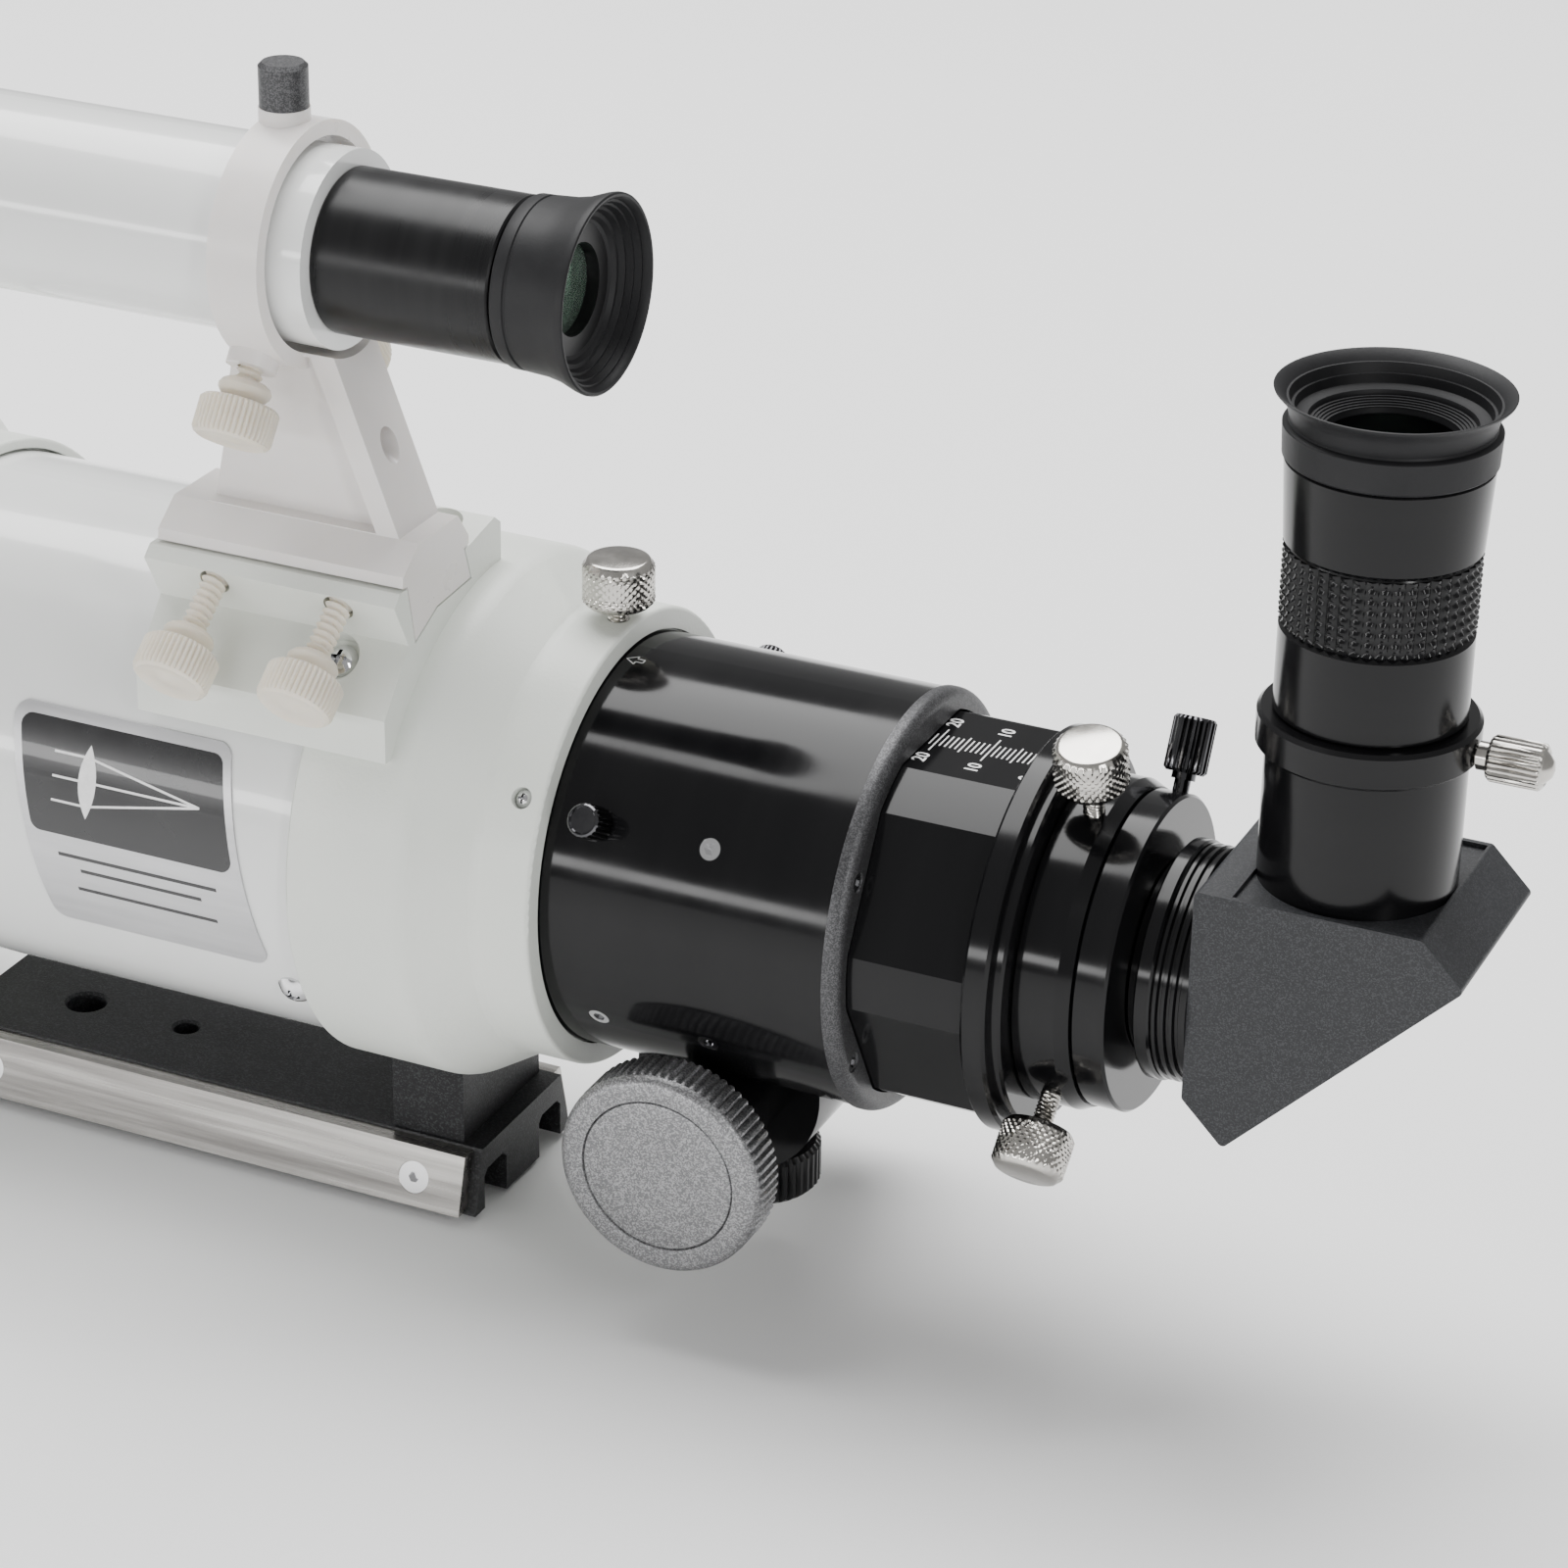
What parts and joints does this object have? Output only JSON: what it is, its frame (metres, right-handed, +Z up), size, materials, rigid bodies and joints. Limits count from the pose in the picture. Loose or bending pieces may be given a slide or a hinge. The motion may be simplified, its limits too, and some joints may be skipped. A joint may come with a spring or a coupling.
{
  "type": "refractor telescope",
  "caption": "Short achromatic refractor tube with rotating rack-and-pinion focuser, mirror diagonal, eyepiece, finder on a sliding bracket and a dovetail rail.",
  "frame": {"origin": "centre of the dovetail rail's flat underside, midway along its length", "axes": "+X runs along the optical axis towards the eyepiece end, +Z is up from the rail to the finder, +Y completes the right-handed set; the optical axis is 79.5 mm above the origin"},
  "size_m": [0.511, 0.122, 0.2269],
  "materials": {
    "white_enamel": "gloss white enamel over rolled aluminium tube",
    "white_texture": "satin white paint over cast aluminium, fine orange-peel texture",
    "chrome_screw": "polished domed machine screws",
    "nickel_knurl": "nickel-plated, diamond knurled",
    "black_chrome": "black chrome, straight knurled",
    "gloss_anodised": "gloss black anodised, turned",
    "satin_anodised": "fine blasted dark grey anodised",
    "silver_blasted": "bead-blasted clear anodised with knurled rim",
    "black_texture": "textured black coating",
    "stainless": "lengthwise brushed stainless with slide marks",
    "nylon": "ivory nylon",
    "warm_white": "moulded warm white bracket",
    "black_rubber": "matte moulded rubber",
    "coated_glass": "coated optical glass",
    "mirror_glass": "front-silvered glass",
    "brass_part": "plain brass",
    "pad_polymer": "white low-friction bearing strip",
    "plate": "printed metal plate with silver border",
    "chrome_barrel": "polished barrel"
  },
  "bodies": {
    "optical_tube": {"dew_shield": "white_enamel", "main_tube": "white_enamel", "front_casting": "white_texture", "rear_adapter": "white_texture", "finder_shoe": "white_texture", "objective_cell": "satin_anodised", "crown_lens": "coated_glass", "flint_lens": "coated_glass", "retaining_ring": "satin_anodised", "tube_baffles": "black_texture", "chrome_screws": "chrome_screw", "collar_screws": "chrome_screw", "nameplate": "plate", "dovetail_rail": "black_texture", "rail_inlays": "stainless", "inlay_screws": "chrome_screw", "rear_foot": "black_texture", "foot_bolts": "black_chrome"},
    "collar_lock": {"collar_thumbscrew": "nickel_knurl"},
    "shoe_clamp_front": {"shoe_thumbscrew_front": "nylon"},
    "shoe_clamp_rear": {"shoe_thumbscrew_rear": "nylon"},
    "focuser": {"focuser_body": "gloss_anodised", "focuser_retainer": "satin_anodised", "end_ring": "satin_anodised", "end_ring_screws": "black_chrome", "guide_pads": "pad_polymer", "guide_set_screws": "black_chrome", "pinion_housing": "satin_anodised"},
    "focuser_lock_near": {"lock_thumbscrew_near": "black_chrome"},
    "focuser_lock_far": {"lock_thumbscrew_far": "black_chrome"},
    "tension": {"tension_knob": "black_texture"},
    "pinion": {"pinion_shaft": "stainless", "focus_knobs": "silver_blasted"},
    "drawtube_assembly": {"drawtube": "gloss_anodised", "rack": "brass_part", "drawtube_flange": "gloss_anodised", "eyepiece_holder": "gloss_anodised", "compression_ring": "brass_part"},
    "holder_clamp_upper": {"holder_thumbscrew_upper": "nickel_knurl"},
    "holder_clamp_lower": {"holder_thumbscrew_lower": "nickel_knurl"},
    "reducer_body": {"reducer": "gloss_anodised"},
    "reducer_clamp": {"reducer_thumbscrew": "black_chrome"},
    "diagonal": {"diagonal_nosepiece": "gloss_anodised", "diagonal_housing": "black_texture", "diagonal_mirror": "mirror_glass", "diagonal_cover": "black_texture", "diagonal_socket": "gloss_anodised"},
    "socket_clamp": {"socket_thumbscrew": "nickel_knurl"},
    "eyepiece": {"eyepiece_barrel": "chrome_barrel", "eyepiece_body": "gloss_anodised", "eyepiece_lenses": "coated_glass", "eyepiece_eyecup": "black_rubber"},
    "bracket": {"finder_bracket": "warm_white", "spring_plunger": "satin_anodised"},
    "aim_screw_near": {"align_screw_near": "nylon"},
    "aim_screw_far": {"align_screw_far": "nylon"},
    "finder": {"finder_tube": "white_enamel", "finder_lenses": "coated_glass", "finder_eyepiece": "satin_anodised", "finder_eyecup": "black_rubber"}
  },
  "joints": [
    {"name": "collar_thumbscrew_turn", "type": "hinge", "parent": "optical_tube", "child": "collar_lock", "pos_m": [0.082, 0, 0.1295], "axis": [0, 0, 1], "continuous": true},
    {"name": "shoe_thumbscrew_front_turn", "type": "hinge", "parent": "optical_tube", "child": "shoe_clamp_front", "pos_m": [0.0203, -0.041, 0.1315], "axis": [0, -0.7914, -0.6113], "continuous": true},
    {"name": "shoe_thumbscrew_rear_turn", "type": "hinge", "parent": "optical_tube", "child": "shoe_clamp_rear", "pos_m": [0.0458, -0.041, 0.1315], "axis": [0, -0.7914, -0.6113], "continuous": true},
    {"name": "focuser_rotation", "type": "hinge", "parent": "optical_tube", "child": "focuser", "pos_m": [0.08, 0, 0.0795], "axis": [1, 0, 0], "continuous": true},
    {"name": "lock_thumbscrew_near_turn", "type": "hinge", "parent": "focuser", "child": "focuser_lock_near", "pos_m": [0.095, -0.03464, 0.0995], "axis": [0, -0.866, 0.5], "continuous": true},
    {"name": "lock_thumbscrew_far_turn", "type": "hinge", "parent": "focuser", "child": "focuser_lock_far", "pos_m": [0.095, 0.03464, 0.0995], "axis": [0, 0.866, 0.5], "continuous": true},
    {"name": "tension_knob_turn", "type": "hinge", "parent": "focuser", "child": "tension", "pos_m": [0.1123, 0, 0.02], "axis": [0, 0, 1], "continuous": true},
    {"name": "drawtube_slide", "type": "slide", "parent": "focuser", "child": "drawtube_assembly", "axis": [1, 0, 0], "range_m": [-0.02, 0.058]},
    {"name": "focus_knob_turn", "type": "hinge", "parent": "focuser", "child": "pinion", "pos_m": [0.1123, 0, 0.0368], "axis": [0, 1, 0], "range_deg": [-206, 596]},
    {"name": "holder_thumbscrew_upper_turn", "type": "hinge", "parent": "drawtube_assembly", "child": "holder_clamp_upper", "pos_m": [0.179, -0.01035, 0.11814], "axis": [0, -0.2588, 0.9659], "continuous": true},
    {"name": "holder_thumbscrew_lower_turn", "type": "hinge", "parent": "drawtube_assembly", "child": "holder_clamp_lower", "pos_m": [0.179, -0.02973, 0.05273], "axis": [0, -0.7431, -0.6691], "continuous": true},
    {"name": "reducer_pull", "type": "slide", "parent": "drawtube_assembly", "child": "reducer_body", "axis": [1, 0, 0], "range_m": [0, 0.025]},
    {"name": "reducer_thumbscrew_turn", "type": "hinge", "parent": "reducer_body", "child": "reducer_clamp", "pos_m": [0.1873, 0.01878, 0.11482], "axis": [0, 0.4695, 0.8829], "continuous": true},
    {"name": "diagonal_rotation", "type": "hinge", "parent": "reducer_body", "child": "diagonal", "pos_m": [0.2, 0, 0.0795], "axis": [1, 0, 0], "continuous": true},
    {"name": "socket_thumbscrew_turn", "type": "hinge", "parent": "diagonal", "child": "socket_clamp", "pos_m": [0.25, 0, 0.1305], "axis": [1, 0, 0], "continuous": true},
    {"name": "eyepiece_lift", "type": "slide", "parent": "diagonal", "child": "eyepiece", "axis": [0, 0, 1], "range_m": [0, 0.026]},
    {"name": "bracket_slide", "type": "slide", "parent": "optical_tube", "child": "bracket", "axis": [1, 0, 0], "range_m": [-0.012, 0.03]},
    {"name": "aim_screw_near_turn", "type": "hinge", "parent": "bracket", "child": "aim_screw_near", "pos_m": [0.029, -0.04113, 0.17038], "axis": [0, -0.5878, -0.809], "continuous": true},
    {"name": "aim_screw_far_turn", "type": "hinge", "parent": "bracket", "child": "aim_screw_far", "pos_m": [0.029, -0.00587, 0.17038], "axis": [0, 0.5878, -0.809], "continuous": true},
    {"name": "finder_tilt", "type": "hinge", "parent": "bracket", "child": "finder", "pos_m": [0.029, -0.0235, 0.19465], "axis": [0, 1, 0], "range_deg": [-2, 2]}
  ],
  "couplings": [
    {"joint": "focus_knob_turn", "follows": "drawtube_slide", "rad_per_m": 178.57}
  ]
}
